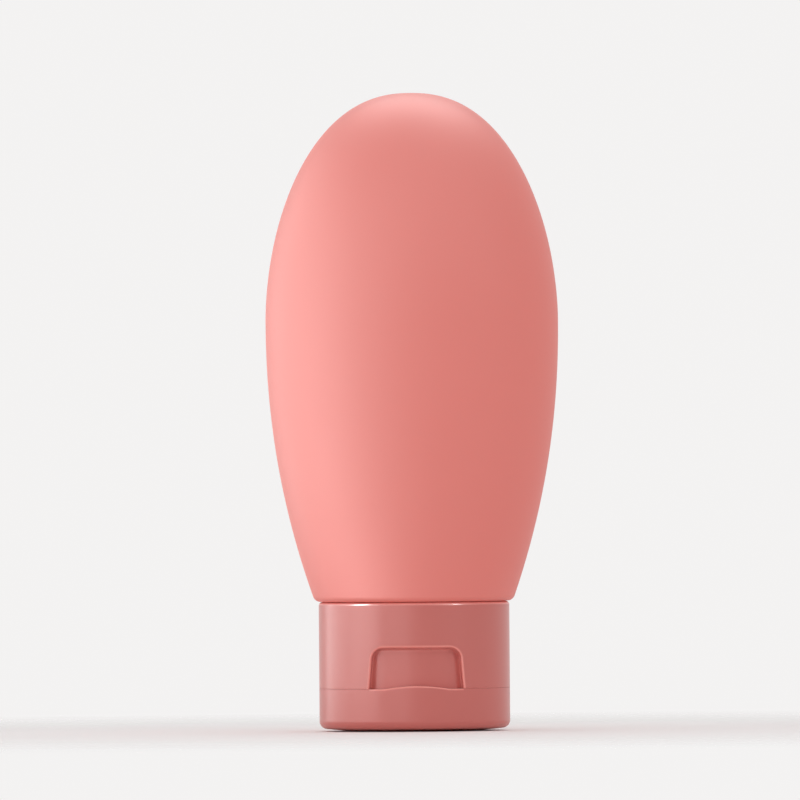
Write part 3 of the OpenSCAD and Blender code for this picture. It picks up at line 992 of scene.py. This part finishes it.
BACKDROP = (0.90, 0.89, 0.885, 1.0)
AMBIENT = (0.73, 0.715, 0.715, 1.0)
FLOOR_PALE = (0.93, 0.925, 0.92, 1.0)
FLOOR_HALF = 0.9
FLOOR_DROP = 0.00005
FADE_START, FADE_END = 0.06, 0.25
AIM = Vector((0, 0, 0.055))


def make_floor():
    """A pale floor that fades into the backdrop away from the bottle."""
    mesh = bpy.data.meshes.new("floor")
    corners = [(x * FLOOR_HALF, y * FLOOR_HALF, 0) for x, y in ((-1, -1), (1, -1), (1, 1), (-1, 1))]
    mesh.from_pydata(corners, [], [(0, 1, 2, 3)])
    floor = bpy.data.objects.new("floor", mesh)
    floor.location.z = -FLOOR_DROP
    bpy.context.scene.collection.objects.link(floor)
    paint = new_paint("pale floor")
    distance = paint.node("ShaderNodeVectorMath", {"operation": "LENGTH"}, {0: paint.places()},
                          output=1)
    far = paint.ramp(distance, FADE_START, FADE_END)
    plain = paint.node("ShaderNodeBsdfPrincipled", inputs={
        "Base Color": FLOOR_PALE, "Roughness": 0.7, "Specular IOR Level": 0.2})
    clear = paint.node("ShaderNodeBsdfTransparent")
    shown = paint.node("ShaderNodeMixShader", inputs={0: far, 1: plain, 2: clear})
    paint.node("ShaderNodeOutputMaterial", inputs={"Surface": shown})
    floor.data.materials.append(paint.owner)


def make_backdrop():
    """A pale world to look at and to mirror, and a dimmer one to light by."""
    world = bpy.data.worlds.new("backdrop")
    bpy.context.scene.world = world
    paint = Paint(world)
    seen, mirrored, through = (
        paint.node("ShaderNodeLightPath", output="Is %s Ray" % kind)
        for kind in ("Camera", "Glossy", "Transmission"))
    shown = paint.of("MAXIMUM", seen, paint.of("MAXIMUM", mirrored, through))
    light = paint.node("ShaderNodeBackground", inputs={
        "Color": paint.mix(shown, AMBIENT, BACKDROP)})
    paint.node("ShaderNodeOutputWorld", inputs={"Surface": light})


def make_softbox(name, azimuth, elevation, distance, size, power):
    """A rectangular lamp that faces the bottle. Azimuth 0 is the front, the right is positive."""
    data = bpy.data.lights.new(name, "AREA")
    data.shape = "RECTANGLE"
    data.size, data.size_y = size
    data.energy = power
    lamp = bpy.data.objects.new(name, data)
    lamp.visible_camera = False
    bpy.context.scene.collection.objects.link(lamp)
    a, e = math.radians(azimuth), math.radians(elevation)
    away = Vector((math.sin(a) * math.cos(e), -math.cos(a) * math.cos(e), math.sin(e)))
    lamp.location = AIM + away * distance
    lamp.rotation_mode = "QUATERNION"
    lamp.rotation_quaternion = away.to_track_quat("Z", "Y")
    return lamp


def make_panel(*numbers):
    """A softbox that is only mirrored: it gives the plastic its gloss and doesn't light it."""
    lamp = make_softbox(*numbers)
    lamp.visible_diffuse = False
    return lamp


def shine_on(pieces, *lamps):
    """Lets these lamps shine on these pieces alone."""
    lit = bpy.data.collections.new("lit " + pieces[0].name)
    for piece in pieces:
        lit.objects.link(piece)
    for lamp in lamps:
        lamp.light_linking.receiver_collection = lit


def make_lamps(squeeze_body, closure_base, flip_lid):
    """Sets up the lamps: azimuth and elevation in degrees, distance, size in metres, power."""
    make_softbox("key lamp", -60, 0, 0.75, (0.5, 0.5), 0.86)
    make_panel("left panel", -89, 0, 0.75, (1.5, 1.1), 16.5)
    make_panel("side panel", -24, 4, 0.8, (0.4, 0.5), 1.0)
    make_softbox("fill lamp", 48, 20, 0.9, (0.2, 0.4), 0.5)
    make_panel("top panel", 164, 76, 0.7, (0.8, 0.7), 8.0)
    make_panel("front panel", 0, 30, 0.8, (0.9, 0.12), 1.1)
    shine_on([squeeze_body],
             make_panel("low card", -58, -13, 0.17, (0.16, 0.03), 0.04),
             make_panel("floor card", -58, -40, 0.072, (0.07, 0.03), 0.01))
    shine_on([flip_lid, closure_base],
             make_panel("front card", -8, 0, 0.8, (0.22, 0.4), 0.2))
    shine_on([closure_base],
             make_panel("left glint", -75, 28, 0.5, (0.02, 0.22), 8.0),
             make_panel("right glint", 53, 28, 0.5, (0.02, 0.22), 2.2))


make_camera()
make_floor()
make_backdrop()

cap_plastic = cap_polypropylene()
squeeze_body = make_squeeze_body()
closure_base = make_closure_base()
flip_lid = make_flip_lid()
dress(squeeze_body, soft_polyethylene())
dress(closure_base, cap_plastic)
dress(flip_lid, cap_plastic)
dress(make_hinge_strip(), hinge_polypropylene())
dress(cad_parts["sealing_washer"], foam_liner())
make_lamps(squeeze_body, closure_base, flip_lid)

bpy.context.scene.view_settings.view_transform = "Standard"

bpy.context.view_layer.update()
